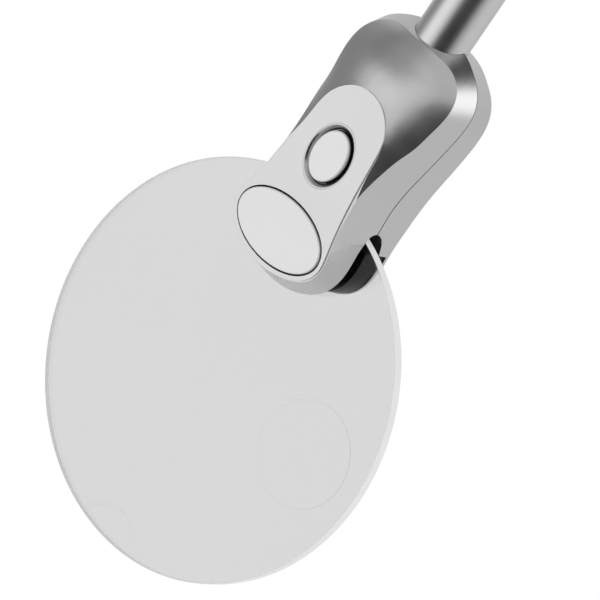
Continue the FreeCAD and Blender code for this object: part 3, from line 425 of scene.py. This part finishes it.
def lensDisc(values, grid):
    around, radius = grid["around"], values["radius"]
    flat = radius - values["ease"]
    spot, size = values["spot"], values["spotRadius"]
    rings = []  # middle of the ring, its radius, and a height or None for the back face
    for k in range(1, grid["domeRings"] + 1):
        r = flat * k / grid["domeRings"]
        rings.append(((0, 0), r, values["half"] + values["dome"] * (1 - (r / radius) ** 2)))
    rings += [((0, 0), radius, values["half"] - values["ease"]),
              ((0, 0), radius, -values["half"] + values["ease"])]
    outer = [flat - grid["fine"] * k for k in range(grid["fineRings"] + 1)]
    outer += [outer[-1] - grid["wide"] * k for k in range(1, grid["wideRings"] + 1)]
    edge = size + values["spotEdge"] * 0.8
    for r in outer:
        # the rings close in on the spot one inside the other
        share = (flat - r) / (flat - outer[-1])
        rings.append(((spot[0] * share, spot[1] * share), flat + (edge - flat) * share, None))
    rings += [(spot, size + values["spotEdge"] * (0.6 - 0.2 * k), None)
              for k in range(grid["stepRings"])]
    rings += [(spot, (size - values["spotEdge"]) * (1 - k / grid["spotRings"]), None)
              for k in range(1, grid["spotRings"])]
    mesh = bmesh.new()
    made = []
    for middle, r, height in rings:
        ring = []
        for k in range(around):
            turn = 2 * math.pi * k / around
            x, y = middle[0] + r * math.cos(turn), middle[1] + r * math.sin(turn)
            z = lensBack(values, x, y) if height is None else height
            ring.append(mesh.verts.new(onArm(x, y, z)))
        made.append(ring)
    top = mesh.verts.new(onArm(0, 0, values["half"] + values["dome"]))
    low = mesh.verts.new(onArm(*spot, lensBack(values, *spot)))
    for k in range(around):
        n = (k + 1) % around
        mesh.faces.new((top, made[0][k], made[0][n]))
        mesh.faces.new((low, made[-1][n], made[-1][k]))
        for one, two in zip(made, made[1:]):
            mesh.faces.new((one[k], two[k], two[n], one[n]))
    bmesh.ops.recalc_face_normals(mesh, faces=mesh.faces)
    data = bpy.data.meshes.new("lensDisc")
    mesh.to_mesh(data)
    mesh.free()
    for face in data.polygons:
        face.use_smooth = True
    data.set_sharp_from_angle(angle=math.radians(35))
    piece = bpy.data.objects.new("lensDisc", data)
    bpy.context.scene.collection.objects.link(piece)
    data.materials.append(finishes["lens"])
    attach(piece, "head")
    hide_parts("lens")


lensDisc(lensShape, lensGrid)

print("lens edge")
lensEdge = dict(radius=55.0, half=1.4, skin=0.03, depth=0.12, ease=0.1, steps=360, shade=0.4,
                paintedGlow=0.38)


def groundEdge(values):
    # the frosted band round the lens: a thin hoop with eased corners, whose emission is a painted
    # glow standing in for light caught in the ground rim
    out, half = values["radius"] + values["skin"], values["half"] + values["skin"]
    inside = values["radius"] - values["depth"]
    ease = values["ease"]
    section = [(inside, -half), (out - ease, -half), (out - ease * 0.3, -half + ease * 0.3),
               (out, -half + ease), (out, half - ease), (out - ease * 0.3, half - ease * 0.3),
               (out - ease, half), (inside, half)]
    mesh = bmesh.new()
    hoops = []
    for k in range(values["steps"]):
        turn = 2 * math.pi * k / values["steps"]
        hoops.append([mesh.verts.new(onArm(r * math.cos(turn), r * math.sin(turn), z))
                      for r, z in section])
    for k, hoop in enumerate(hoops):
        after = hoops[(k + 1) % len(hoops)]
        for j in range(len(section)):
            n = (j + 1) % len(section)
            mesh.faces.new((hoop[j], after[j], after[n], hoop[n]))
    bmesh.ops.recalc_face_normals(mesh, faces=mesh.faces)
    data = bpy.data.meshes.new("lensEdge")
    mesh.to_mesh(data)
    mesh.free()
    piece = bpy.data.objects.new("lensEdge", data)
    bpy.context.scene.collection.objects.link(piece)
    # painted glow: the band gives off light though it is no lamp
    data.materials.append(plasticFinish("groundEdge", (values["shade"],) * 3,
                                        paintedGlow=values["paintedGlow"]))
    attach(piece, "head")


groundEdge(lensEdge)

print("room")
room = dict(floorDrop=0.42, floorSize=30.0, floorGlow=0.22)


def makeFloor():
    low, high = cadBox
    z = low[2] - room["floorDrop"]
    half = room["floorSize"] / 2
    mesh = bpy.data.meshes.new("floor")
    mesh.from_pydata([(-half, -half, z), (half, -half, z), (half, half, z), (-half, half, z)],
                     [], [(0, 1, 2, 3)])
    floor = bpy.data.objects.new("floor", mesh)
    bpy.context.scene.collection.objects.link(floor)
    f = Finish("paleFloor")
    cloud = f.noise(ownPlace(f), 3.0, 3.0)
    mesh.materials.append(f.surface(Base_Color=f.blend(cloud, grey(0.86), grey(0.90)),
                                    Roughness=0.7, Emission_Color=grey(room["floorGlow"]),
                                    Emission_Strength=1.0))
    floor.visible_glossy = False  # the metal mirrors the studio, not the floor


# where each lamp stands from the middle of the object, its side and its power
lamps = dict(keyLight=((-0.9, -1.2, 1.1), 0.9, 9), fillLight=((1.3, 0.9, 1.2), 0.8, 6))


def makeLight(name, aim, values):
    away, size, power = values
    place = aim + Vector(away)
    data = bpy.data.lights.new(name, "AREA")
    data.size = size
    data.energy = power
    lamp = bpy.data.objects.new(name, data)
    bpy.context.scene.collection.objects.link(lamp)
    lamp.location = place
    lamp.visible_glossy = lamp.visible_transmission = False
    lamp.rotation_mode = "QUATERNION"
    lamp.rotation_quaternion = (aim - place).to_track_quat("-Z", "Y")


studioLight = dict(
    shown=1.0,  # what the camera sees behind the object
    level=0.72,  # the even light all round
    least=0.02,
    pools=(  # direction it comes from, how wide, what it adds
        ((-0.56, -0.82, 0.05), 0.58, 0.58),
        ((0.48, -0.74, -0.47), 0.68, -1.9),
        ((-0.82, -0.22, 0.53), 0.75, -0.40),
        ((-0.15, -0.66, 0.73), 0.60, -0.34),
        ((0.10, -0.98, 0.18), 0.45, 0.26),
        ((0.97, 0.24, 0.02), 0.80, 1.05),
        ((0.62, 0.30, 0.72), 0.62, -1.0),
        ((0.60, -0.30, -0.74), 0.50, -0.30),
        ((0.36, 0.62, -0.66), 0.60, 0.10)))


def makeWorld():
    world = bpy.data.worlds.new("paleRoom")
    sky = Finish("paleRoom", world)
    direction = sky.node("ShaderNodeTexCoord", None, None, "Generated")
    light = None
    for aim, width, gain in studioLight["pools"]:
        facing = sky.node("ShaderNodeVectorMath", dict(operation="DOT_PRODUCT"), {
            0: direction, 1: tuple(Vector(aim).normalized())}, "Value")
        pool = sky.node("ShaderNodeMapRange", dict(interpolation_type="SMOOTHSTEP"), {
            "Value": facing, "From Min": math.cos(width), "From Max": 1.0,
            "To Min": 0.0, "To Max": gain}, "Result")
        light = pool + (studioLight["level"] if light is None else light)
    light = light.sum("MAXIMUM", light, studioLight["least"])
    seen = sky.node("ShaderNodeLightPath", None, None, "Is Camera Ray")
    strength = seen * studioLight["shown"] + (1 - seen) * light
    back = sky.node("ShaderNodeBackground", None, {
        "Color": grey(1.0), "Strength": strength}, "Background")
    sky.node("ShaderNodeOutputWorld", None, {"Surface": back})
    bpy.context.scene.world = world


makeFloor()
makeWorld()
middle = (cadBox[0] + cadBox[1]) / 2
for name, values in lamps.items():
    makeLight(name, middle, values)
bpy.context.scene.view_settings.view_transform = "Standard"
